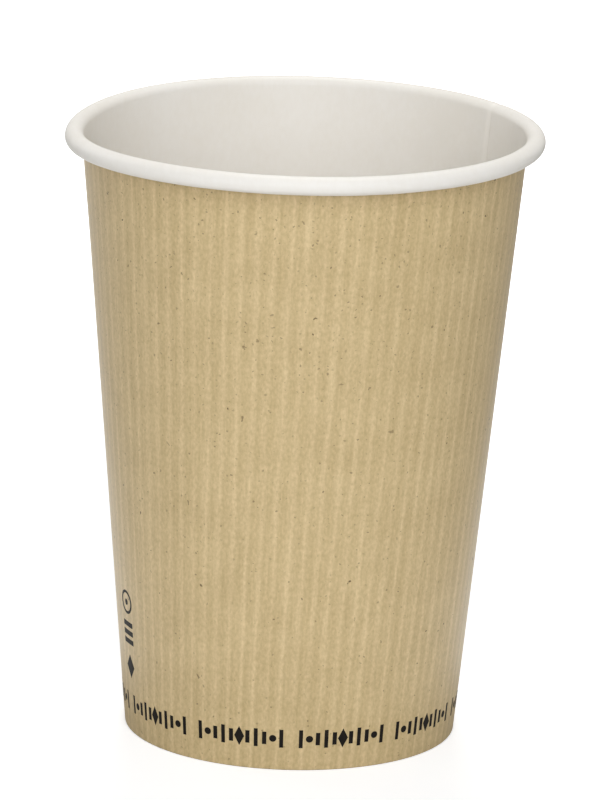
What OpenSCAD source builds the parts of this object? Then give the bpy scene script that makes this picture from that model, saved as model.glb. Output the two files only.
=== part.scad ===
// Paper soup cup: one board blank wrapped into a cone and closed by a lapped side seam,
// with a rolled rim at the top, and a base disc held in the folded bottom edge.
// It stands on the fold, centred on the origin, and +Z is its axis.

/* [Cup] */
// Outside diameter of the rolled rim
rim_d = 115; // [105:0.5:125]
// Height from the table to the top of the rim
cup_h = 149; // [100:0.5:180]
// Outside diameter of the wall, carried down to the table
base_d = 80; // [72:0.5:88]

/* [Board] */
// Thickness of the wall's board
wall_t = 0.45; // [0.35:0.01:0.5]
// Thickness of the base disc's board
base_t = 0.4; // [0.3:0.01:0.5]
// Film of coating that bonds one board to the other
film_t = 0.02; // [0.01:0.01:0.05]

/* [Rolled rim] */
// Height of the roll
roll_d = 4.6; // [4:0.1:5.4]
// Turns of the roll, from the wall to its cut edge
roll_turns = 1.3; // [1.1:0.05:1.45]
// Gap between one turn and the next
turn_gap = 0.03; // [0.02:0.01:0.08]

/* [Side seam] */
// Width of the lap
lap_w = 8; // [5:0.5:11]
// Width over which the outer layer comes down past the inner edge
lap_ramp = 2.5; // [2:0.25:3]
// Where the seam lies round the cup, in degrees from +X towards +Y
seam_az = 33; // [0:1:359]

/* [Base] */
// Height of the base panel's underside above the table
base_recess = 9; // [8.5:0.25:13]
// Inside radius of the bend between the base panel and its skirt
base_bend = 0.8; // [0.5:0.1:1.2]
// Height of the bottom edge that is folded up inside the skirt
flap_h = 6.2; // [4:0.1:6.6]

/* [Hidden] */
$fn = 180;
arc_step = 10;
kraft = "#c3ae86";
coated_white = "#ece9e2";

// The wall's outer face runs from the base corner to where it touches the roll's inner circle.
rim_r = rim_d / 2;
base_r = base_d / 2;
roll_r = roll_d / 2;
roll_in = roll_r - wall_t;
roll_run = rim_r - roll_r - base_r;
roll_rise = cup_h - roll_r;
roll_reach = norm([roll_run, roll_rise]);
taper = atan(roll_run / roll_rise) - asin(roll_in / roll_reach);
wall_l = sqrt(roll_reach ^ 2 - roll_in ^ 2);
inward = [-cos(taper), sin(taper)];

// A point of the section, s outwards from the wall's outer face and l along it
function on_wall(s, l) = [base_r, 0] - s * inward + l * [sin(taper), cos(taper)];
// How far along the wall a height z lies, on the line that is s outwards from its face
function along(s, z) = (z + s * sin(taper)) / cos(taper);
// Points of an arc after its start
function arc(c, r, a0, a1) = let (n = ceil(abs(a1 - a0) / arc_step))
    [for (i = [1:n]) let (a = a0 + (a1 - a0) * i / n) c + r * [cos(a), sin(a)]];
function reversed(p) = [for (i = [len(p) - 1:-1:0]) p[i]];

// Faces of the folded bottom edge, from the wall's outer face inwards
skirt_out = -wall_t - film_t;
skirt_in = skirt_out - base_t;
flap_out = skirt_in - film_t;
flap_in = flap_out - wall_t;
fold_outer = on_wall(-wall_t, along(-wall_t, wall_t));
fold_inner = on_wall(flap_out, along(flap_out, wall_t));
flap_top = along(flap_out, wall_t) + flap_h;

// The roll is made of half turns whose radius falls by half a board and half a gap each time.
turn_drop = (wall_t + turn_gap) / 2;
roll_c = on_wall(roll_in, wall_l);
half_turns = 2 * roll_turns;
function turn_c(k) = k % 2 == 0 ? roll_c : roll_c - turn_drop * inward;
function turn_r(k) = roll_r - k * turn_drop;
function turn_a(k) = 180 - taper - 180 * k;
// Face of the roll that lies depth inside its outer face, after its start on the wall
function roll_face(depth) = [for (k = [0:ceil(half_turns) - 1])
    each arc(turn_c(k), turn_r(k) - depth, turn_a(k), turn_a(k) - 180 * min(1, half_turns - k))];

// The board's printed face, from the flap's edge round the fold and up to the roll's edge
printed_face = concat(
    [on_wall(flap_in, flap_top), fold_inner + wall_t * inward],
    arc(fold_inner, wall_t, 180 - taper, 270),
    [fold_outer - [0, wall_t]],
    arc(fold_outer, wall_t, -90, -taper),
    [on_wall(0, wall_l)],
    roll_face(wall_t));
// The board's coated face, along the same way
coated_face = concat(
    [on_wall(flap_out, flap_top), fold_inner, fold_outer, on_wall(-wall_t, wall_l)],
    roll_face(0));

// The seam is drawn about the middle of its ramp, with the lap on the side of -Y.
ramp_slope = wall_t / lap_ramp;
ramp_start = -lap_ramp / 2;
lap_edge = ramp_start - lap_w;
strip_foot = along(0, wall_t);
// How far past its middle the ramp's plane is carried, to end inside the board
ramp_reach = 2 * lap_ramp;
// How deep a cutting shape goes, to pass the wall's curve across the lap
cut_depth = roll_d;
// How deep an added layer sinks into the board under it
bite = wall_t / 3;
// Degrees round the roll over which the channel beside the inner edge shows
channel_turn = 225;
// Height of the ramp's plane above the wall's outer face, y round the cup from its middle
function ramp(y) = wall_t / 2 - ramp_slope * y;
function turned(y, r) = y / r * 180 / PI;

// Places children on the wall's outer face at the seam: X outwards, Z up along the wall
module at_seam()
    rotate([0, 0, seam_az]) translate([base_r, 0, 0]) rotate([0, taper, 0]) children();

// Revolves a section over the lap only, where its radius is r
module revolve_lap(r)
    rotate([0, 0, seam_az + turned(lap_edge, r)])
        rotate_extrude(angle = turned(lap_w + lap_ramp, r)) children();

// Outer layer of the lap on the wall, with its cut edge and its ramp
module lap_strip()
    intersection() {
        rotate_extrude() polygon([
            on_wall(-bite, strip_foot), on_wall(wall_t, strip_foot),
            on_wall(wall_t, wall_l + bite), on_wall(-bite, wall_l + bite)]);
        at_seam() translate([0, 0, -wall_t]) linear_extrude(wall_l + roll_r) polygon([
            [-cut_depth, lap_edge], [ramp(lap_edge), lap_edge],
            [ramp(ramp_reach), ramp_reach], [-cut_depth, ramp_reach]]);
    }

// Outer layer of the lap where it goes on inside the roll
module lap_in_roll()
    revolve_lap(rim_r) polygon(concat(
        [on_wall(-turn_gap / 2, wall_l)], roll_face(wall_t - turn_gap / 2),
        reversed(roll_face(2 * wall_t)), [on_wall(wall_t, wall_l)]));

// Outer layer of the lap where the fold turns it up inside the base
module lap_on_flap()
    revolve_lap(fold_inner.x) polygon([
        on_wall(flap_in + bite, strip_foot + wall_t), on_wall(flap_in + bite, flap_top),
        on_wall(flap_in - wall_t, flap_top), on_wall(flap_in - wall_t, strip_foot + wall_t)]);

// Channel inside the wall, beside the cut edge of the lap's inner layer
module wall_channel()
    at_seam() translate([0, 0, base_recess]) linear_extrude(wall_l - base_recess) polygon([
        [-cut_depth, ramp_start], [ramp(ramp_start) - wall_t, ramp_start],
        [ramp(ramp_reach) - wall_t, ramp_reach], [-cut_depth, ramp_reach]]);

// The same channel carried on over the rim
module rim_channel()
    at_seam() translate([roll_in, 0, wall_l]) rotate([-90, 0, 0]) rotate([0, 0, 180])
        rotate_extrude(angle = channel_turn) polygon([
            [roll_r - ramp(ramp_start), ramp_start], [roll_r - ramp(lap_ramp), ramp_start],
            [roll_r - ramp(lap_ramp), lap_ramp]]);

module side_wall()
    color(kraft) difference() {
        union() {
            rotate_extrude() polygon(concat(printed_face, reversed(coated_face)));
            lap_strip();
            lap_in_roll();
            lap_on_flap();
        }
        wall_channel();
        rim_channel();
    }

// Punched board disc with its edge drawn down into a skirt that stands in the fold
module base_disc() {
    bend_z = base_recess - base_bend;
    bend_s = skirt_in - base_bend;
    bend_c = on_wall(bend_s, along(bend_s, bend_z));
    skirt_foot = wall_t + film_t;
    color(coated_white) rotate_extrude() polygon(concat(
        [[0, base_recess + base_t], bend_c + [0, base_bend + base_t]],
        arc(bend_c, base_bend + base_t, 90, -taper),
        [on_wall(skirt_out, along(skirt_out, skirt_foot)), on_wall(skirt_in, along(skirt_in, skirt_foot))],
        [bend_c - base_bend * inward],
        arc(bend_c, base_bend, -taper, 90),
        [[0, base_recess]]));
}

side_wall();
base_disc();
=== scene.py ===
import math

import bmesh
import bpy
from mathutils import Matrix, Vector


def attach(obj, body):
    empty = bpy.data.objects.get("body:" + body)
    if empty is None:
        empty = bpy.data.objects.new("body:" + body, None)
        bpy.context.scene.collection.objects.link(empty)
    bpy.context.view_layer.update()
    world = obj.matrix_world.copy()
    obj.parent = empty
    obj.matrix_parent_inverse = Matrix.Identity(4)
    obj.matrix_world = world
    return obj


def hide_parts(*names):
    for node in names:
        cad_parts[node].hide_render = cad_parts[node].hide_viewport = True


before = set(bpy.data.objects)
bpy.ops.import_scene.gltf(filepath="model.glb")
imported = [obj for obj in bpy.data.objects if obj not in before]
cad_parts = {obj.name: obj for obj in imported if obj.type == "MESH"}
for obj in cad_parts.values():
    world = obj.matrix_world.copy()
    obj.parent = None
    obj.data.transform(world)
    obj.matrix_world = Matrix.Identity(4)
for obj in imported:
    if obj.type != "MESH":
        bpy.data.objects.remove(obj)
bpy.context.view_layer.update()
mm = 0.001
print("frame loaded")


# small helpers for building node trees

def addNode(tree, kind, settings=None, inputs=None):
    node = tree.nodes.new(kind)
    for key, value in (settings or {}).items():
        setattr(node, key, value)
    for key, value in (inputs or {}).items():
        if isinstance(key, int):
            socket = node.inputs[key]
        else:
            socket = next(s for s in node.inputs if s.name == key and s.enabled)
        if isinstance(value, bpy.types.NodeSocket):
            tree.links.new(value, socket)
        else:
            socket.default_value = value
    return node


def outOf(node, name=None):
    return next(s for s in node.outputs if s.enabled and name in (None, s.name))


def calc(tree, operation, *values):
    return outOf(addNode(tree, "ShaderNodeMath", {"operation": operation}, dict(enumerate(values))))


def total(tree, *values):
    result = values[0]
    for value in values[1:]:
        result = calc(tree, "ADD", result, value)
    return result


def times(tree, *values):
    result = values[0]
    for value in values[1:]:
        result = calc(tree, "MULTIPLY", result, value)
    return result


def vector(tree, x, y, z):
    return outOf(addNode(tree, "ShaderNodeCombineXYZ", None, {0: x, 1: y, 2: z}))


def vectorCalc(tree, operation, *values):
    return outOf(addNode(tree, "ShaderNodeVectorMath", {"operation": operation},
                         dict(enumerate(values))))


def scaled(tree, value, factor):
    return outOf(addNode(tree, "ShaderNodeVectorMath", {"operation": "SCALE"},
                         {"Vector": value, "Scale": factor}))


def parts(tree, value):
    return addNode(tree, "ShaderNodeSeparateXYZ", None, {0: value}).outputs


def ramp(tree, value, low, high, smooth=False):      # 0 below low, 1 above high
    node = addNode(tree, "ShaderNodeMapRange",
                   {"interpolation_type": "SMOOTHSTEP" if smooth else "LINEAR"},
                   {"Value": value, "From Min": low, "From Max": high})
    return outOf(node, "Result")


def newTree(name, kind, inputs, outputs):
    tree = bpy.data.node_groups.new(name, kind)
    socketKinds = {tuple: "NodeSocketVector", float: "NodeSocketFloat",
                   bpy.types.Material: "NodeSocketMaterial"}
    for label, default in inputs.items():
        socket = tree.interface.new_socket(label, in_out="INPUT",
                                           socket_type=socketKinds[type(default)])
        socket.default_value = default
    for label, socketKind in outputs.items():
        tree.interface.new_socket(label, in_out="OUTPUT", socket_type=socketKind)
    given = {s.name: s for s in tree.nodes.new("NodeGroupInput").outputs if s.name}
    return tree, given, tree.nodes.new("NodeGroupOutput")


# camera, fitted to the cup's outline in the photograph

view = {
    "imageSize": (596, 800),         # px
    "focal": 7429.83,                # px
    "distance": 1734.42 * mm,        # from the cup's axis
    "height": 535.28 * mm,           # above the table
    "pitch": 0.25616,                # radians down from level
    "roll": -0.02795,
    "sensor": 36.0,                  # mm, Blender's usual width
    "clip": (0.1, 50.0),             # m
}


def makeCamera():
    data = bpy.data.cameras.new("photoCamera")
    camera = bpy.data.objects.new("photoCamera", data)
    bpy.context.scene.collection.objects.link(camera)
    data.sensor_width = view["sensor"]
    data.lens = view["focal"] * view["sensor"] / max(view["imageSize"])
    data.clip_start, data.clip_end = view["clip"]
    forward = Vector((0, math.cos(view["pitch"]), -math.sin(view["pitch"])))
    side = Vector((1, 0, 0))
    down = forward.cross(side)
    turnedSide = side * math.cos(view["roll"]) + down * math.sin(view["roll"])
    turnedDown = down * math.cos(view["roll"]) - side * math.sin(view["roll"])
    axes = Matrix((turnedSide, -turnedDown, -forward)).transposed().to_4x4()
    camera.matrix_world = Matrix.Translation((0, -view["distance"], view["height"])) @ axes
    bpy.context.scene.camera = camera


makeCamera()
print("camera set")


# shared effects: node groups that more than one finish uses

def fibreGrain():                                    # board fibres and a slow mottle
    tree, given, out = newTree("fibreGrain", "ShaderNodeTree",
                               {"Place": (0.0, 0.0, 0.0), "Fibre scale": 1500.0, "Stretch": 0.35,
                                "Mottle scale": 90.0, "Mottle share": 0.35},
                               {"Tone": "NodeSocketFloat", "Height": "NodeSocketFloat"})
    x, y, z = parts(tree, given["Place"])
    drawn = vector(tree, x, times(tree, y, given["Stretch"]), times(tree, z, given["Stretch"]))
    fibres = addNode(tree, "ShaderNodeTexNoise", None,
                     {"Vector": drawn, "Scale": given["Fibre scale"], "Detail": 3.0,
                      "Roughness": 0.6})
    mottle = addNode(tree, "ShaderNodeTexNoise", None,
                     {"Vector": given["Place"], "Scale": given["Mottle scale"], "Detail": 4.0,
                      "Roughness": 0.55})
    fibre = outOf(fibres, "Fac")
    share = given["Mottle share"]
    tone = total(tree, times(tree, fibre, calc(tree, "SUBTRACT", 1.0, share)),
                 times(tree, outOf(mottle, "Fac"), share))
    tree.links.new(tone, out.inputs["Tone"])
    tree.links.new(fibre, out.inputs["Height"])
    return tree


fleckShape = {
    "driftScale": 1.3,                               # of the noise that moves flecks, per cell
    "drift": 0.9,                                    # cells
    "unevenScale": 9.0,                              # of the noise in their outline, per cell
    "leastSize": 0.35,
    "leastReach": 0.55,
    "edge": (1.15, 0.7),                             # where a fleck fades, in shares of its reach
}


def boardFlecks():                                   # scattered specks of bark
    tree, given, out = newTree("boardFlecks", "ShaderNodeTree",
                               {"Place": (0.0, 0.0, 0.0), "Cells per metre": 300.0, "Share": 0.2,
                                "Size": 0.12},
                               {"Mask": "NodeSocketFloat", "Chance": "NodeSocketFloat"})
    drift = addNode(tree, "ShaderNodeTexNoise", None,
                    {"Vector": given["Place"], "Detail": 2.0,
                     "Scale": times(tree, given["Cells per metre"], fleckShape["driftScale"])})
    shift = scaled(tree, vectorCalc(tree, "SUBTRACT", outOf(drift, "Color"), (0.5, 0.5, 0.5)),
                   calc(tree, "DIVIDE", fleckShape["drift"], given["Cells per metre"]))
    cells = addNode(tree, "ShaderNodeTexVoronoi", {"feature": "F1", "voronoi_dimensions": "2D"},
                    {"Vector": vectorCalc(tree, "ADD", given["Place"], shift),
                     "Scale": given["Cells per metre"], "Randomness": 1.0})
    pick, sizeChance, blot = addNode(tree, "ShaderNodeSeparateColor", None,
                                     {0: outOf(cells, "Color")}).outputs
    uneven = addNode(tree, "ShaderNodeTexNoise", None,
                     {"Vector": given["Place"], "Detail": 1.0,
                      "Scale": times(tree, given["Cells per metre"], fleckShape["unevenScale"])})
    reach = times(tree, given["Size"], total(tree, fleckShape["leastSize"], sizeChance),
                  total(tree, fleckShape["leastReach"], outOf(uneven, "Fac")))
    inside = ramp(tree, calc(tree, "DIVIDE", outOf(cells, "Distance"), reach),
                  *fleckShape["edge"], True)
    chosen = calc(tree, "LESS_THAN", pick, given["Share"])
    tree.links.new(times(tree, inside, chosen), out.inputs["Mask"])
    tree.links.new(blot, out.inputs["Chance"])
    return tree


grainGroup = fibreGrain()
fleckGroup = boardFlecks()


def group(tree, nodeTree, inputs):
    return addNode(tree, "ShaderNodeGroup", {"node_tree": nodeTree}, inputs).outputs


def linear(hexColour):                               # from sRGB to the values that sockets hold
    values = [int(hexColour[i:i + 2], 16) / 255 for i in (1, 3, 5)]
    return (*(v / 12.92 if v <= 0.04045 else ((v + 0.055) / 1.055) ** 2.4 for v in values), 1.0)


def mixColour(tree, share, first, second, blend="MIX"):
    node = addNode(tree, "ShaderNodeMix", {"data_type": "RGBA", "blend_type": blend},
                   {"Factor": share, "A": first, "B": second})
    return outOf(node, "Result")


def newMaterial(name, **constants):
    material = bpy.data.materials.new(name)
    material.use_nodes = True
    shader = material.node_tree.nodes["Principled BSDF"]
    for label, value in constants.items():
        shader.inputs[label.replace("_", " ")].default_value = value
    return material, material.node_tree, shader


def setSurface(tree, shader, style, colour, grain):  # links a finish's colour, gloss and relief
    least, more = style["roughness"]
    rough = total(tree, least, times(tree, grain["Tone"], more))
    source, strength, depth = style["relief"]
    bump = addNode(tree, "ShaderNodeBump", None, {"Strength": strength, "Distance": depth,
                                                  "Height": grain[source]})
    for label, value in (("Base Color", colour), ("Roughness", rough), ("Normal", outOf(bump))):
        tree.links.new(value, shader.inputs[label])


# finishes: roughness is least and how much the grain adds, relief is the grain's output,
# strength and depth

kraftPrint = {
    "ground": "#d7be8e",                             # the print's own ground colour
    "line": "#e7ce9e",                               # a pale line
    "shade": "#c6ad7b",                              # the tone between two lines
    "fleck": "#5f4720",
    "fanCentre": (-19.50 * mm, -42.22 * mm),         # where their fan starts, from the cone's tip
    "fanPitch": math.radians(0.36559),
    "fanStart": -5.339,                              # lines
    "waver": 0.16,                                   # lines
    "waverNoise": (1.3, 45.0, 2.0, 1.7),             # per line, per metre, detail, seed
    "strengthNoise": (0.9, 9.0, 3.0, 5.1),
    "streakNoise": (4.6, 70.0, 3.0, 9.4),
    "levels": ((0.0, 1.0), (0.15, 0.5), (0.32, 0.06), (0.55, 0.22), (0.7, 0.3), (0.86, 0.62),
               (1.0, 1.0)),                          # tone across a line: place, level
    "lineShare": 0.62,
    "streakShare": 0.46,
    "groundShare": 0.2,
    "grain": {"Fibre scale": 1500.0, "Stretch": 0.55, "Mottle scale": 110.0, "Mottle share": 0.3},
    "grainTones": (0.36, 0.64),
    "grainShade": (0.79, 0.77, 0.71, 1.0),
    "thicker": (0.6, 520 * mm, 630 * mm),            # flecks towards the rim: least, from, to
    "flecks": ((300.0, 0.07, 0.08, 0.45), (460.0, 0.13, 0.085, 0.12),
               (900.0, 0.22, 0.17, 0.03)),           # cells per metre, share, size, least depth
    "roughness": (0.33, 0.12),
    "relief": ("Height", 0.25, 0.02 * mm),
}


def makeKraftPrint():
    style = kraftPrint
    material, tree, shader = newMaterial("kraftPrint", Specular_IOR_Level=0.5)
    blank = outOf(addNode(tree, "ShaderNodeUVMap", {"uv_map": "blank"}))
    x, y = parts(tree, vectorCalc(tree, "SUBTRACT", blank, (*style["fanCentre"], 0.0)))[:2]
    fan = total(tree, calc(tree, "DIVIDE", calc(tree, "ARCTAN2", x, y), style["fanPitch"]),
                style["fanStart"])

    def streaked(across, lengthwise, detail, seed):  # noise drawn out along the lines
        place = vector(tree, times(tree, fan, across), times(tree, y, lengthwise), seed)
        noise = addNode(tree, "ShaderNodeTexNoise", None,
                        {"Vector": place, "Scale": 1.0, "Detail": detail, "Roughness": 0.6})
        return outOf(noise, "Fac")

    waver = times(tree, total(tree, streaked(*style["waverNoise"]), -0.5), 2 * style["waver"])
    phase = calc(tree, "FRACT", total(tree, fan, waver))
    lineTone = addNode(tree, "ShaderNodeValToRGB", None, {"Fac": phase})
    bar = lineTone.color_ramp
    bar.interpolation = "B_SPLINE"
    while len(bar.elements) < len(style["levels"]):
        bar.elements.new(0.5)
    for element, (position, level) in zip(bar.elements, style["levels"]):
        element.position = position
        element.color = (level, level, level, 1.0)
    strength = ramp(tree, streaked(*style["strengthNoise"]), 0.25, 0.75)
    line = times(tree, outOf(lineTone, "Color"), total(tree, 0.45, strength))
    streak = ramp(tree, streaked(*style["streakNoise"]), 0.28, 0.72)
    line = total(tree, times(tree, line, style["lineShare"]),
                 times(tree, streak, style["streakShare"]))
    colour = mixColour(tree, calc(tree, "MINIMUM", line, 1.0), linear(style["shade"]),
                       linear(style["line"]))
    grain = group(tree, grainGroup, {"Place": blank, **style["grain"]})
    colour = mixColour(tree, style["groundShare"], colour, linear(style["ground"]))
    darker = mixColour(tree, 1.0, colour, style["grainShade"], "MULTIPLY")
    colour = mixColour(tree, ramp(tree, grain["Tone"], *style["grainTones"]), darker, colour)
    least, start, end = style["thicker"]
    thicker = total(tree, least, ramp(tree, y, start, end))
    fleckDepth = 0.0
    for cells, share, size, least in style["flecks"]:
        fleck, chance = group(tree, fleckGroup, {"Place": blank, "Cells per metre": cells,
                                                 "Share": times(tree, thicker, share),
                                                 "Size": size})
        depth = times(tree, fleck, total(tree, least, times(tree, chance, chance, 0.6)))
        fleckDepth = calc(tree, "MAXIMUM", fleckDepth, depth)
    colour = mixColour(tree, fleckDepth, colour, linear(style["fleck"]))
    setSurface(tree, shader, style, colour, grain)
    return material


coatedBoard = {
    "colours": ("#f1ece3", "#ede7dc"),
    "specular": 0.35,
    "grain": {"Fibre scale": 900.0, "Stretch": 0.5, "Mottle scale": 45.0, "Mottle share": 0.6},
    "grainTones": (0.35, 0.65),
    "flecks": {"Cells per metre": 40.0, "Share": 0.08, "Size": 0.014},
    "fleck": "#6d6759",
    "fleckShare": 0.75,
    "roughness": (0.4, 0.14),
    "relief": ("Tone", 0.3, 0.03 * mm),
}
cutEdge = {
    "colours": ("#c9b995", "#e2d6bd"),
    "specular": 0.2,
    "grain": {"Fibre scale": 6000.0, "Stretch": 0.2, "Mottle scale": 500.0, "Mottle share": 0.4},
    "grainTones": (0.35, 0.65),
    "roughness": (0.75, 0.2),
    "relief": ("Height", 0.6, 0.05 * mm),
}
printInk = {
    "colours": ("#100b07", "#1f1810"),
    "specular": 0.2,
    "grain": {"Fibre scale": 2500.0, "Stretch": 0.5, "Mottle scale": 400.0, "Mottle share": 0.5},
    "grainTones": (0.4, 0.7),
    "roughness": (0.5, 0.15),
    "relief": ("Height", 0.2, 0.02 * mm),
}


def makePlainFinish(name, style):                    # two tones mixed by the grain, and flecks
    material, tree, shader = newMaterial(name, Specular_IOR_Level=style["specular"])
    place = outOf(addNode(tree, "ShaderNodeTexCoord"), "Object")
    grain = group(tree, grainGroup, {"Place": place, **style["grain"]})
    colour = mixColour(tree, ramp(tree, grain["Tone"], *style["grainTones"]),
                       *(linear(tone) for tone in style["colours"]))
    if "flecks" in style:
        blank = outOf(addNode(tree, "ShaderNodeUVMap", {"uv_map": "blank"}))
        fleck = group(tree, fleckGroup, {"Place": blank, **style["flecks"]})["Mask"]
        colour = mixColour(tree, times(tree, fleck, style["fleckShare"]), colour,
                           linear(style["fleck"]))
    setSurface(tree, shader, style, colour, grain)
    return material


finishes = {
    "kraftPrint": makeKraftPrint(),
    "coatedBoard": makePlainFinish("coatedBoard", coatedBoard),
    "cutEdge": makePlainFinish("cutEdge", cutEdge),
    "printInk": makePlainFinish("printInk", printInk),
}
print("finishes made")


# side wall: one board wrapped round, rolled at the top and folded at the bottom

wall = {
    "rimRadius": 57.5 * mm,
    "height": 149 * mm,
    "baseRadius": 40 * mm,                           # outer face carried down to the table
    "board": 0.45 * mm,
    "discBoard": 0.4 * mm,
    "film": 0.02 * mm,
    "rollHeight": 4.6 * mm,
    "rollTurns": 1.3,
    "lapRollTurns": 0.86,                            # where the board is double
    "turnGap": 0.03 * mm,
    "flapHeight": 6.2 * mm,
    "lapWidth": 8 * mm,
    "lapRamp": 2.5 * mm,
    "lapFilm": 0.015 * mm,
    "rollEase": 6 * mm,                              # over which the roll's turns change at the lap
    "underEase": 1.5 * mm,                           # over which the lap's inner layer starts
    "footLength": 6 * mm,                            # straight above the fold, in shorter rows
    "pressedHeight": 3 * mm,                         # of the double board pressed at the fold
    "pressedRow": 1.1 * mm,                          # height that a row counts for there
    "seamAngle": math.radians(33),
    "front": math.radians(270),                      # the print's middle
    "roundColumns": 372,
    "lapColumns": 24,
    "lapSpan": 11.5 * mm,                            # that the lap's finer columns take
    "rimWave": 0.10 * mm,                            # how far the rim wanders from a true circle
    "rollWave": 0.07 * mm,
    "sag": 1.3 * mm,                                 # how far the rim dips on the print's left
    "sagAngle": math.radians(183),
    "sagSpread": math.radians(27),
}


def wallLines(cup):                                  # what follows from the sizes, as on a drawing
    lines = {}
    rollRadius = cup["rollHeight"] / 2
    rollIn = rollRadius - cup["board"]
    run = cup["rimRadius"] - rollRadius - cup["baseRadius"]
    rise = cup["height"] - rollRadius
    reach = math.hypot(run, rise)
    lines["taper"] = math.atan2(run, rise) - math.asin(rollIn / reach)
    lines["wallTop"] = math.sqrt(reach ** 2 - rollIn ** 2)
    sin, cos = math.sin(lines["taper"]), math.cos(lines["taper"])
    lines["foldStart"] = cup["board"] * (1 - sin) / cos
    lines["skirtGap"] = (2 * cup["film"] + cup["discBoard"]) / cos
    lines["rollRadius"] = rollRadius
    flapOut = -(cup["board"] + 2 * cup["film"] + cup["discBoard"])
    flapMiddle = flapOut - cup["board"] / 2
    flapTop = (cup["board"] + flapOut * sin) / cos + cup["flapHeight"]
    lines["start"] = (cup["baseRadius"] + flapMiddle * cos + flapTop * sin, 0,
                      flapTop * cos - flapMiddle * sin)
    lines["tipDistance"] = cup["baseRadius"] / sin
    return lines


lines = wallLines(wall)


def closedPlate(tree, sheet, backPlace):             # gives an open sheet its back and its edges
    weld = 0.0004 * mm
    firstDepth = 0.1 * mm                            # of the back, until it is placed
    thick = addNode(tree, "GeometryNodeExtrudeMesh", {"mode": "FACES"},
                    {"Mesh": sheet, "Offset Scale": firstDepth, "Individual": False})
    top, side = outOf(thick, "Top"), outOf(thick, "Side")
    placed = addNode(tree, "GeometryNodeSetPosition", None,
                     {"Geometry": outOf(thick, "Mesh"), "Selection": top, "Position": backPlace})
    kinds = outOf(placed)
    for selection, kind in ((top, 1), (side, 2)):
        kinds = outOf(addNode(tree, "GeometryNodeStoreNamedAttribute",
                              {"data_type": "INT", "domain": "FACE"},
                              {"Geometry": kinds, "Selection": selection, "Name": "kind",
                               "Value": kind}))
    front = addNode(tree, "GeometryNodeFlipFaces", None, {"Mesh": sheet})
    joined = addNode(tree, "GeometryNodeJoinGeometry")
    for piece in (outOf(front), kinds):
        tree.links.new(piece, joined.inputs[0])
    merged = addNode(tree, "GeometryNodeMergeByDistance", None,
                     {"Geometry": outOf(joined), "Distance": weld})
    return outOf(merged)


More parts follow.
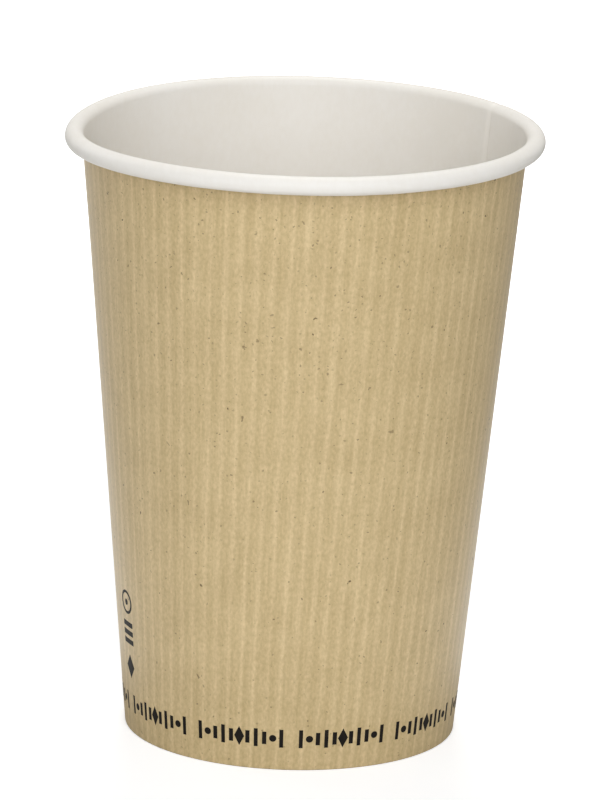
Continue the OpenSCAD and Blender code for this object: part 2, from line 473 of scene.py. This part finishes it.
def boardWrap():
    names = {"Board": wall["board"], "Taper": lines["taper"], "Flap height": wall["flapHeight"],
             "Skirt gap": lines["skirtGap"], "Fold start": lines["foldStart"],
             "Wall top": lines["wallTop"], "Roll radius": lines["rollRadius"],
             "Turn gap": wall["turnGap"], "Roll turns": wall["rollTurns"],
             "Lap roll turns": wall["lapRollTurns"], "Roll ease": wall["rollEase"],
             "Lap width": wall["lapWidth"], "Lap ramp": wall["lapRamp"],
             "Lap film": wall["lapFilm"], "Pressed height": wall["pressedHeight"],
             "Seam angle": wall["seamAngle"], "Front": wall["front"],
             "Tip distance": lines["tipDistance"], "Rim wave": wall["rimWave"],
             "Roll wave": wall["rollWave"], "Height": wall["height"], "Sag": wall["sag"],
             "Sag angle": wall["sagAngle"], "Sag spread": wall["sagSpread"]}
    materials = {"Printed": finishes["kraftPrint"], "Coated": finishes["coatedBoard"],
                 "Cut": finishes["cutEdge"], "Ink": finishes["printInk"]}
    tree, given, out = newTree("boardWrap", "GeometryNodeTree", {**names, **materials},
                               {"Geometry": "NodeSocketGeometry"})

    def do(operation, *values):
        return calc(tree, operation, *values)

    half = do("MULTIPLY", given["Board"], 0.5)
    turnDrop = do("MULTIPLY", do("ADD", given["Board"], given["Turn gap"]), 0.5)
    rightAngle = math.pi / 2
    firstRoll = do("SUBTRACT", given["Roll radius"], half)
    restLength = do("SUBTRACT", do("SUBTRACT", given["Wall top"], given["Fold start"]),
                    wall["footLength"])
    lastTurn = do("MULTIPLY", do("SUBTRACT", given["Roll turns"], 1.0), -2 * math.pi)
    # each stretch of the section: steps, length if straight, or bend radius and turn
    stretches = [
        (5, given["Flap height"], None, None),
        (6, None, half, do("ADD", given["Taper"], rightAngle)),
        (1, given["Skirt gap"], None, None),
        (6, None, half, do("SUBTRACT", rightAngle, given["Taper"])),
        (6, wall["footLength"], None, None),
        (26, restLength, None, None),
        (18, None, firstRoll, -math.pi),
        (16, None, do("SUBTRACT", firstRoll, turnDrop), -math.pi),
        (9, None, do("SUBTRACT", firstRoll, do("MULTIPLY", turnDrop, 2.0)), lastTurn),
    ]
    rows = sum(s[0] for s in stretches)
    foldRows = (stretches[0][0], sum(s[0] for s in stretches[:4]))
    rollRow = sum(s[0] for s in stretches[:6])

    # the section as a line of points, each step turned from the one before
    line = addNode(tree, "GeometryNodeMeshLine", None, {"Count": rows + 1})
    index = outOf(addNode(tree, "GeometryNodeInputIndex"))
    turn, chord, first = 0.0, 0.0, 0
    for steps, length, radius, bend in stretches:
        within = do("MULTIPLY", do("GREATER_THAN", index, first + 0.5),
                    do("LESS_THAN", index, first + steps + 0.5))
        if bend is None:
            stepLength = do("DIVIDE", length, float(steps))
        else:
            stepTurn = do("DIVIDE", bend, float(steps))
            turn = do("ADD", turn, do("MULTIPLY", within, stepTurn))
            halfSine = do("SINE", do("ABSOLUTE", do("MULTIPLY", stepTurn, 0.5)))
            stepLength = do("MULTIPLY", do("MULTIPLY", radius, 2.0), halfSine)
        chord = do("ADD", chord, do("MULTIPLY", within, stepLength))
        first += steps

    def running(value, kind):
        node = addNode(tree, "GeometryNodeAccumulateField", {"data_type": kind, "domain": "POINT"},
                       {"Value": value})
        return outOf(node, "Leading")

    heading = do("ADD", running(turn, "FLOAT"), do("SUBTRACT", -rightAngle, given["Taper"]))
    middle = do("SUBTRACT", heading, do("MULTIPLY", turn, 0.5))
    step = vector(tree, do("MULTIPLY", chord, do("COSINE", middle)), 0.0,
                  do("MULTIPLY", chord, do("SINE", middle)))
    place = vectorCalc(tree, "ADD", running(step, "FLOAT_VECTOR"), lines["start"])
    ahead = parts(tree, place)
    packed = vector(tree, ahead[0], heading, ahead[2])     # radius, heading and height in one
    travel = running(chord, "FLOAT")

    # the blank as a flat grid: columns round the cup, rows along the section
    columns = wall["lapColumns"] + wall["roundColumns"]
    grid = addNode(tree, "GeometryNodeMeshGrid", None,
                   {"Size X": float(columns), "Size Y": float(rows), "Vertices X": columns + 1,
                    "Vertices Y": rows + 1})
    gridX, gridY = parts(tree, outOf(addNode(tree, "GeometryNodeInputPosition")))[:2]
    sheet = outOf(grid, "Mesh")
    for name, value in (("column", do("ADD", gridX, columns / 2)),
                        ("row", do("ADD", gridY, rows / 2))):
        sheet = outOf(addNode(tree, "GeometryNodeStoreNamedAttribute",
                              {"data_type": "FLOAT", "domain": "POINT"},
                              {"Geometry": sheet, "Name": name, "Value": value}))

    def named(name, kind="FLOAT"):
        return outOf(addNode(tree, "GeometryNodeInputNamedAttribute", {"data_type": kind},
                             {"Name": name}), "Attribute")

    column, row = named("column"), named("row")

    def sectionAt(rowPlace):
        low = do("FLOOR", rowPlace)
        rest = do("SUBTRACT", rowPlace, low)
        found = []
        for value, kind in ((packed, "FLOAT_VECTOR"), (travel, "FLOAT")):
            ends = [outOf(addNode(tree, "GeometryNodeSampleIndex",
                                  {"data_type": kind, "domain": "POINT", "clamp": True},
                                  {"Geometry": outOf(line, "Mesh"), "Value": value, "Index": end}))
                    for end in (low, do("ADD", low, 1.0))]
            mixKind = "VECTOR" if kind == "FLOAT_VECTOR" else "FLOAT"
            mix = addNode(tree, "ShaderNodeMix", {"data_type": mixKind, "clamp_factor": False},
                          {"Factor": rest, "A": ends[0], "B": ends[1]})
            found.append(outOf(mix, "Result"))
        return found

    # how far round the cup a column lies, measured from the middle of the lap's ramp
    plainPacked, plainTravel = sectionAt(row)
    radius = parts(tree, plainPacked)[0]
    lapEdge = do("SUBTRACT", do("MULTIPLY", given["Lap ramp"], -0.5), given["Lap width"])
    circle = do("MULTIPLY", radius, 2 * math.pi)
    lapStep = wall["lapSpan"] / wall["lapColumns"]
    roundStep = do("DIVIDE", do("SUBTRACT", do("ADD", circle, given["Lap width"]), wall["lapSpan"]),
                   float(wall["roundColumns"]))
    lapColumn = do("MINIMUM", column, float(wall["lapColumns"]))
    roundColumn = do("MAXIMUM", do("SUBTRACT", column, float(wall["lapColumns"])), 0.0)
    way = total(tree, lapEdge, times(tree, lapColumn, lapStep), times(tree, roundColumn, roundStep))
    toEnd = do("SUBTRACT", do("SUBTRACT", circle, do("MULTIPLY", given["Lap ramp"], 0.5)), way)
    azimuth = do("ADD", given["Seam angle"], do("DIVIDE", way, radius))

    # over is 1 where the board lies on the lap, under is 1 where it lies below it
    halfRamp = do("MULTIPLY", given["Lap ramp"], 0.5)
    over = do("SUBTRACT", 1.0, ramp(tree, way, do("MULTIPLY", halfRamp, -1.0), halfRamp, True))
    underEnd = do("ADD", given["Lap width"], wall["underEase"])
    under = do("SUBTRACT", 1.0, ramp(tree, toEnd, given["Lap width"], underEnd, True))
    atLap = do("MAXIMUM", *(do("SUBTRACT", 1.0, ramp(tree, distance, end,
                                                     do("ADD", end, given["Roll ease"]), True))
                            for distance, end in ((way, halfRamp), (toEnd, underEnd))))
    lapShare = do("DIVIDE", given["Lap roll turns"], given["Roll turns"])
    rollShare = do("ADD", 1.0, do("MULTIPLY", atLap, do("SUBTRACT", lapShare, 1.0)))
    rollPart = do("MULTIPLY", do("MAXIMUM", do("SUBTRACT", row, float(rollRow)), 0.0), rollShare)
    rowPlace = do("ADD", do("MINIMUM", row, float(rollRow)), rollPart)
    sampled, travelled = sectionAt(rowPlace)
    sectionRadius, sectionHeading, sectionHeight = parts(tree, sampled)

    # the rim wanders a little, and more so with height
    risen = do("DIVIDE", sectionHeight, given["Height"])
    ringPlace = vector(tree, do("COSINE", azimuth), do("SINE", azimuth), 0.0)

    def wave(scale, seed):
        node = addNode(tree, "ShaderNodeTexNoise", {"noise_dimensions": "4D"},
                       {"Vector": ringPlace, "W": seed, "Scale": scale, "Detail": 1.0})
        return do("MULTIPLY", do("SUBTRACT", outOf(node, "Fac"), 0.5), 2.0)

    rimRise = do("POWER", do("MAXIMUM", risen, 0.0), 3.0)
    inRoll = ramp(tree, row, rollRow - 1.0, float(rollRow), True)
    waveOut = total(tree, times(tree, wave(1.6, 3.1), rimRise, given["Rim wave"]),
                    times(tree, wave(9.0, 7.7), inRoll, given["Roll wave"]))
    fromSag = do("ARCTAN2", do("SINE", do("SUBTRACT", azimuth, given["Sag angle"])),
                 do("COSINE", do("SUBTRACT", azimuth, given["Sag angle"])))
    sagPlace = do("DIVIDE", fromSag, given["Sag spread"])
    sagShare = do("EXPONENT", do("MULTIPLY", do("POWER", sagPlace, 2.0), -0.5))
    sag = times(tree, sagShare, given["Sag"], ramp(tree, risen, 0.8, 0.96, True))
    waveUp = total(tree, times(tree, wave(1.3, 5.2), rimRise, given["Rim wave"]),
                   times(tree, wave(11.0, 1.4), inRoll, given["Roll wave"], 0.6),
                   times(tree, sag, -1.0))

    # the two faces of the board, with the double layer lifted, and pressed flat at the fold
    foldLow, foldHigh = foldRows
    footTravel = do("MINIMUM", do("ABSOLUTE", do("SUBTRACT", row, float(foldLow))),
                    do("ABSOLUTE", do("SUBTRACT", row, float(foldHigh))))
    inFold = do("MULTIPLY", do("GREATER_THAN", row, foldLow - 0.5),
                do("LESS_THAN", row, foldHigh + 0.5))
    awayFromFold = do("MULTIPLY", footTravel, do("SUBTRACT", 1.0, inFold))
    pressedRows = do("DIVIDE", given["Pressed height"], wall["pressedRow"])
    pressed = do("SUBTRACT", 1.0, ramp(tree, awayFromFold, 0.0, pressedRows, True))
    lift = times(tree, over, do("ADD", given["Board"], given["Lap film"]),
                 do("SUBTRACT", 1.0, pressed))
    halfAndFilm = do("ADD", half, do("MULTIPLY", given["Lap film"], 0.5))
    printedOff = total(tree, half, lift, times(tree, under, pressed, halfAndFilm, -1.0))
    coatedOff = total(tree, do("MULTIPLY", half, -1.0), lift,
                      times(tree, over, pressed, halfAndFilm))

    def boardPoint(off):
        outwards = do("SINE", sectionHeading)
        upwards = do("MULTIPLY", do("COSINE", sectionHeading), -1.0)
        pointRadius = total(tree, sectionRadius, times(tree, outwards, off), waveOut)
        pointHeight = total(tree, sectionHeight, times(tree, upwards, off), waveUp)
        return vector(tree, times(tree, pointRadius, do("COSINE", azimuth)),
                      times(tree, pointRadius, do("SINE", azimuth)), pointHeight)

    printedSheet = outOf(addNode(tree, "GeometryNodeSetPosition", None,
                                 {"Geometry": sheet, "Position": boardPoint(printedOff)}))
    board = closedPlate(tree, printedSheet, boardPoint(coatedOff))

    # where a point lies on the flat blank, from the tip of its fan
    fromTip = total(tree, given["Tip distance"], travelled, -1.0 * blankStart())
    fanAngle = do("MULTIPLY", do("SUBTRACT", azimuth, given["Front"]), do("SINE", given["Taper"]))
    blankPlace = vector(tree, do("MULTIPLY", fromTip, do("SINE", fanAngle)),
                        do("MULTIPLY", fromTip, do("COSINE", fanAngle)), 0.0)
    board = outOf(addNode(tree, "GeometryNodeStoreNamedAttribute",
                          {"data_type": "FLOAT2", "domain": "CORNER"},
                          {"Geometry": board, "Name": "blank", "Value": blankPlace}))

    joined = addNode(tree, "GeometryNodeJoinGeometry")
    tree.links.new(board, joined.inputs[0])
    tree.links.new(inkMarks(tree, printedSheet, given), joined.inputs[0])
    smooth = addNode(tree, "GeometryNodeSetShadeSmooth", {"domain": "FACE"},
                     {"Geometry": outOf(joined), "Shade Smooth": True})
    angle = outOf(addNode(tree, "GeometryNodeInputMeshEdgeAngle"), "Unsigned Angle")
    sharp = addNode(tree, "GeometryNodeSetShadeSmooth", {"domain": "EDGE"},
                    {"Geometry": outOf(smooth), "Shade Smooth": False,
                     "Selection": do("GREATER_THAN", angle, math.radians(40))})
    result = outOf(addNode(tree, "GeometryNodeRealizeInstances", None, {"Geometry": outOf(sharp)}))
    kind = named("kind", "INT")
    for number, label in enumerate(materials):
        chosen = do("COMPARE", kind, float(number), 0.5)
        result = outOf(addNode(tree, "GeometryNodeSetMaterial", None,
                               {"Geometry": result, "Selection": chosen, "Material": given[label]}))
    tree.links.new(result, out.inputs["Geometry"])
    return tree, {**names, **materials}


def blankStart():                                    # travel along the section to table level
    arcs = wall["board"] / 2 * math.pi
    return wall["flapHeight"] + arcs + lines["skirtGap"] - lines["foldStart"]


# printed marks: plain shapes in a row above the fold, and three at the side

marks = {
    "bandHeight": 8.1 * mm,                          # middle of the row, along the wall
    "units": 10,
    "clearOfLap": 2.0 * mm,
    "step": 2.05 * mm,                               # from one shape to the next
    "lozenge": (2.5 * mm, 4.9 * mm),
    "bar": (0.95 * mm, 4.6 * mm),
    "lowBar": (1.05 * mm, 3.2 * mm),
    "dot": 1.75 * mm,
    "signAngle": math.radians(-68),                  # from the print's middle
    "ring": (2.3 * mm, 0.7 * mm),                    # radius and width
    "ringDot": 1.6 * mm,
    "ringHeight": 34.0 * mm,                         # along the wall, as the next heights
    "signBar": (5.4 * mm, 1.3 * mm),
    "signBarHeights": (28.4 * mm, 26.2 * mm, 24.0 * mm),
    "signLozenge": (4.6 * mm, 6.0 * mm),
    "signLozengeHeight": 17.6 * mm,
    "inkHeight": 0.02 * mm,
    "inkDepth": 0.02 * mm,
    "stand": 3 * mm,                                 # from which the marks are dropped on the wall
}


def inkMarks(tree, target, given):
    def do(operation, *values):
        return calc(tree, operation, *values)

    def moved(mesh, x, y, scaleX=1.0, scaleY=1.0):
        return outOf(addNode(tree, "GeometryNodeTransform", None,
                             {"Geometry": mesh, "Translation": (x, y, 0.0),
                              "Scale": (scaleX, scaleY, 1.0)}))

    def disc(corners):
        return outOf(addNode(tree, "GeometryNodeMeshCircle", {"fill_type": "TRIANGLE_FAN"},
                             {"Vertices": corners, "Radius": 0.5}))

    def bar(width, height):
        return outOf(addNode(tree, "GeometryNodeMeshGrid", None,
                             {"Size X": width, "Size Y": height,
                              "Vertices X": max(2, round(width / mm) + 1),
                              "Vertices Y": max(2, round(height / mm) + 1)}), "Mesh")

    def together(*meshes):
        node = addNode(tree, "GeometryNodeJoinGeometry")
        for mesh in meshes:
            tree.links.new(mesh, node.inputs[0])
        return outOf(node)

    def finer(mesh, level):
        return outOf(addNode(tree, "GeometryNodeSubdivideMesh", None,
                             {"Mesh": mesh, "Level": level}))

    bandRadius = wall["baseRadius"] + marks["bandHeight"] * math.sin(lines["taper"])
    circle = 2 * math.pi * bandRadius
    pitch = (circle - 2 * marks["clearOfLap"]) / marks["units"]
    lozenge = finer(moved(disc(4), 0, 0, *marks["lozenge"]), 2)
    dot = moved(disc(20), 0, 0, marks["dot"], marks["dot"])
    tall, low = bar(*marks["bar"]), bar(*marks["lowBar"])
    unit = together(*(moved(shape, (number - 5) * marks["step"], 0) for number, shape in enumerate(
        (tall, dot, low, tall, low, lozenge, low, tall, low, dot, tall))))
    lapEdge = -wall["lapRamp"] / 2 - wall["lapWidth"]
    start = lapEdge + marks["clearOfLap"] + pitch / 2
    row = addNode(tree, "GeometryNodeMeshLine", None,
                  {"Count": marks["units"], "Start Location": (start, marks["bandHeight"], 0.0),
                   "Offset": (pitch, 0.0, 0.0)})
    band = addNode(tree, "GeometryNodeInstanceOnPoints", None,
                   {"Points": outOf(row, "Mesh"), "Instance": unit})
    signX = (wall["front"] + marks["signAngle"] - wall["seamAngle"]) * bandRadius
    ringRadius, ringWidth = marks["ring"]
    circleLine = addNode(tree, "GeometryNodeMeshCircle", {"fill_type": "NONE"},
                         {"Vertices": 36, "Radius": ringRadius})
    outwards = vectorCalc(tree, "NORMALIZE", outOf(addNode(tree, "GeometryNodeInputPosition")))
    ring = addNode(tree, "GeometryNodeExtrudeMesh", {"mode": "EDGES"},
                   {"Mesh": outOf(circleLine), "Offset": outwards, "Offset Scale": ringWidth})
    signs = together(
        moved(outOf(ring, "Mesh"), signX, marks["ringHeight"]),
        moved(disc(16), signX, marks["ringHeight"], marks["ringDot"], marks["ringDot"]),
        *(moved(bar(*marks["signBar"]), signX, height) for height in marks["signBarHeights"]),
        finer(moved(disc(4), signX, marks["signLozengeHeight"], *marks["signLozenge"]), 2))
    flat = outOf(addNode(tree, "GeometryNodeRealizeInstances", None,
                         {"Geometry": together(outOf(band), signs)}))
    position = outOf(addNode(tree, "GeometryNodeInputPosition"))
    flat = outOf(addNode(tree, "GeometryNodeStoreNamedAttribute",
                         {"data_type": "FLOAT_VECTOR", "domain": "POINT"},
                         {"Geometry": flat, "Name": "flatPlace", "Value": position}))
    stored = addNode(tree, "GeometryNodeInputNamedAttribute", {"data_type": "FLOAT_VECTOR"},
                     {"Name": "flatPlace"})
    flatX, flatY = parts(tree, outOf(stored, "Attribute"))[:2]
    azimuth = do("ADD", given["Seam angle"], do("DIVIDE", flatX, bandRadius))
    sine, cosine = do("SINE", given["Taper"]), do("COSINE", given["Taper"])
    stand = marks["stand"]
    rayRadius = total(tree, wall["baseRadius"], times(tree, flatY, sine),
                      times(tree, cosine, stand))
    rayHeight = do("SUBTRACT", do("MULTIPLY", flatY, cosine), do("MULTIPLY", sine, stand))
    outward = vector(tree, times(tree, do("COSINE", azimuth), cosine),
                     times(tree, do("SINE", azimuth), cosine), do("MULTIPLY", sine, -1.0))
    source = vector(tree, times(tree, rayRadius, do("COSINE", azimuth)),
                    times(tree, rayRadius, do("SINE", azimuth)), rayHeight)
    hit = addNode(tree, "GeometryNodeRaycast", None,
                  {"Target Geometry": target, "Source Position": source, "Ray Length": 2 * stand,
                   "Ray Direction": scaled(tree, outward, -1.0)})
    surface = outOf(hit, "Hit Position")

    def off(height):
        return vectorCalc(tree, "ADD", surface, scaled(tree, outward, height))

    wrapped = outOf(addNode(tree, "GeometryNodeSetPosition", None,
                            {"Geometry": flat, "Position": off(marks["inkHeight"])}))
    plates = closedPlate(tree, wrapped, off(-marks["inkDepth"]))
    return outOf(addNode(tree, "GeometryNodeStoreNamedAttribute",
                         {"data_type": "INT", "domain": "FACE"},
                         {"Geometry": plates, "Name": "kind", "Value": 3}))


def bakedPiece(name, tree, values):                  # runs a tree once and keeps its plain mesh
    piece = bpy.data.objects.new(name, bpy.data.meshes.new(name))
    bpy.context.scene.collection.objects.link(piece)
    modifier = piece.modifiers.new("nodes", "NODES")
    modifier.node_group = tree
    for item in tree.interface.items_tree:
        if item.in_out == "INPUT":
            modifier[item.identifier] = values[item.name]
    bpy.context.view_layer.update()
    graph = bpy.context.evaluated_depsgraph_get()
    mesh = bpy.data.meshes.new_from_object(piece.evaluated_get(graph),
                                           preserve_all_data_layers=True, depsgraph=graph)
    piece.modifiers.clear()
    piece.data = mesh
    mesh.name = name
    return piece


def outwardFaces(piece):
    build = bmesh.new()
    build.from_mesh(piece.data)
    bmesh.ops.recalc_face_normals(build, faces=build.faces)
    openEdges = sum(1 for e in build.edges if len(e.link_faces) != 2)
    print(piece.name, "faces", len(build.faces), "open edges", openEdges,
          "volume mm3", round(build.calc_volume(signed=True) / mm ** 3, 1))
    build.to_mesh(piece.data)
    build.free()


sideWall = bakedPiece("sideWall", *boardWrap())
outwardFaces(sideWall)
for name in ("column", "row", "kind", "flatPlace"):  # only the node tree needs these
    attribute = sideWall.data.attributes.get(name)
    if attribute:
        sideWall.data.attributes.remove(attribute)
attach(sideWall, "root")
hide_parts("side_wall")
print("side wall made")

# base disc: the CAD solid, with its own flat map for the flecks

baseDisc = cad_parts["base_disc"]
baseDisc.data.materials.clear()
baseDisc.data.materials.append(finishes["coatedBoard"])
blankMap = baseDisc.data.uv_layers.new(name="blank")
for loop, corner in zip(baseDisc.data.loops, blankMap.data):
    corner.uv = baseDisc.data.vertices[loop.vertex_index].co.xy
print("base disc finished")


# floor, lamps and world

studio = {
    "floorSize": 12.0,
    "floorColour": (0.75, 0.75, 0.75, 1.0),
    "floorGlow": 0.48,                               # added to what is seen of the floor
    "farGlow": (0.15, 0.6, 0.5),                     # and beyond: from, to, how much more
    # painted shade in the cup's sheen: to mirror rays the floor is darker to the right, to the
    # left, far in front and round the foot, which darkens the sheen on the cup's sides, its upper
    # wall and its foot
    "paintedMirrorShade": (("x", 0.08, 0.22, 0.2), ("x", -0.10, -0.24, 0.45), ("y", -0.19, -0.33, 0.3),
                    ("away", 0.09, 0.045, 0.2)),     # along, from, to, share that mirror rays keep, as painted shade
    "worldLevel": 0.32,
    "worldColour": (0.97, 0.985, 1.0, 1.0),
    "aimHeight": 0.08,
    "lamps": {
        "front": {"place": (0.1, -1.9, 0.75), "size": 1.0, "power": 15.0,
                  "colour": (0.95, 0.985, 1.05)},
        "frontHigh": {"place": (0.1, -1.4, 1.6), "size": 1.0, "power": 11.0,
                      "colour": (0.95, 0.985, 1.05)},
        "left": {"place": (-1.7, -0.9, 0.9), "size": 1.0, "power": 0.6,
                 "colour": (0.97, 0.99, 1.03)},
        "top": {"place": (0.0, 0.9, 1.9), "size": 0.6, "power": 14.0,
                "colour": (1.01, 0.99, 0.96)},
        "backLeft": {"place": (-1.5, 1.0, 0.8), "size": 1.0, "power": 2.5,
                     "colour": (0.97, 0.99, 1.03)},
    },
}


def seenDirectly(tree, mirrorShare=1.0):             # 1 for camera, mirror and glass rays
    path = addNode(tree, "ShaderNodeLightPath")
    seen = total(tree, outOf(path, "Is Camera Ray"), outOf(path, "Is Transmission Ray"),
                 times(tree, outOf(path, "Is Glossy Ray"), mirrorShare))
    return calc(tree, "MINIMUM", seen, 1.0)


def makeStudio():
    floor = bpy.data.objects.new("floor", bpy.data.meshes.new("floor"))
    bpy.context.scene.collection.objects.link(floor)
    halfSide = studio["floorSize"] / 2
    corners = [(-halfSide, -halfSide, 0), (halfSide, -halfSide, 0), (halfSide, halfSide, 0),
               (-halfSide, halfSide, 0)]
    floor.data.from_pydata(corners, [], [(0, 1, 2, 3)])
    material, tree, shader = newMaterial("paleFloor", Roughness=0.9, Specular_IOR_Level=0.1)
    shader.inputs["Emission Color"].default_value = (1.0, 1.0, 1.0, 1.0)
    place = outOf(addNode(tree, "ShaderNodeTexCoord"), "Object")
    x, y = parts(tree, place)[:2]
    away = outOf(addNode(tree, "ShaderNodeVectorMath", {"operation": "LENGTH"}, {0: place}),
                 "Value")
    # painted shade: mirror rays see the floor's colour and glow darkened by these fades, though no
    # card or shadow is there
    kept = 1.0
    for along, start, end, share in studio["paintedMirrorShade"]:
        measure = {"x": x, "y": y, "away": away}[along]
        kept = times(tree, kept, total(tree, 1.0, times(tree, ramp(tree, measure, start, end, True),
                                                        share - 1.0)))
    mirrored = outOf(addNode(tree, "ShaderNodeLightPath"), "Is Glossy Ray")
    shown = mixColour(tree, times(tree, mirrored, calc(tree, "SUBTRACT", 1.0, kept)),
                      studio["floorColour"], (0.0, 0.0, 0.0, 1.0))
    tree.links.new(shown, shader.inputs["Base Color"])
    farStart, farEnd, farGlow = studio["farGlow"]
    glow = times(tree, seenDirectly(tree, kept),
                 total(tree, studio["floorGlow"],
                       times(tree, ramp(tree, away, farStart, farEnd, True), farGlow)))
    tree.links.new(glow, shader.inputs["Emission Strength"])
    floor.data.materials.append(material)

    world = bpy.data.worlds.new("studio")
    world.use_nodes = True
    bpy.context.scene.world = world
    background = world.node_tree.nodes["Background"]
    background.inputs["Color"].default_value = studio["worldColour"]
    level = calc(world.node_tree, "MULTIPLY_ADD", seenDirectly(world.node_tree),
                 1.0 - studio["worldLevel"], studio["worldLevel"])
    world.node_tree.links.new(level, background.inputs["Strength"])

    for name, lamp in studio["lamps"].items():
        data = bpy.data.lights.new(name + "Lamp", "AREA")
        data.shape = "DISK"
        data.size = lamp["size"]
        data.energy = lamp["power"]
        data.color = lamp["colour"]
        light = bpy.data.objects.new(name + "Lamp", data)
        bpy.context.scene.collection.objects.link(light)
        aim = Vector((0, 0, studio["aimHeight"])) - Vector(lamp["place"])
        light.matrix_world = (Matrix.Translation(lamp["place"])
                              @ aim.to_track_quat("-Z", "Y").to_matrix().to_4x4())


makeStudio()
bpy.context.scene.view_settings.view_transform = "Standard"
print("studio set")
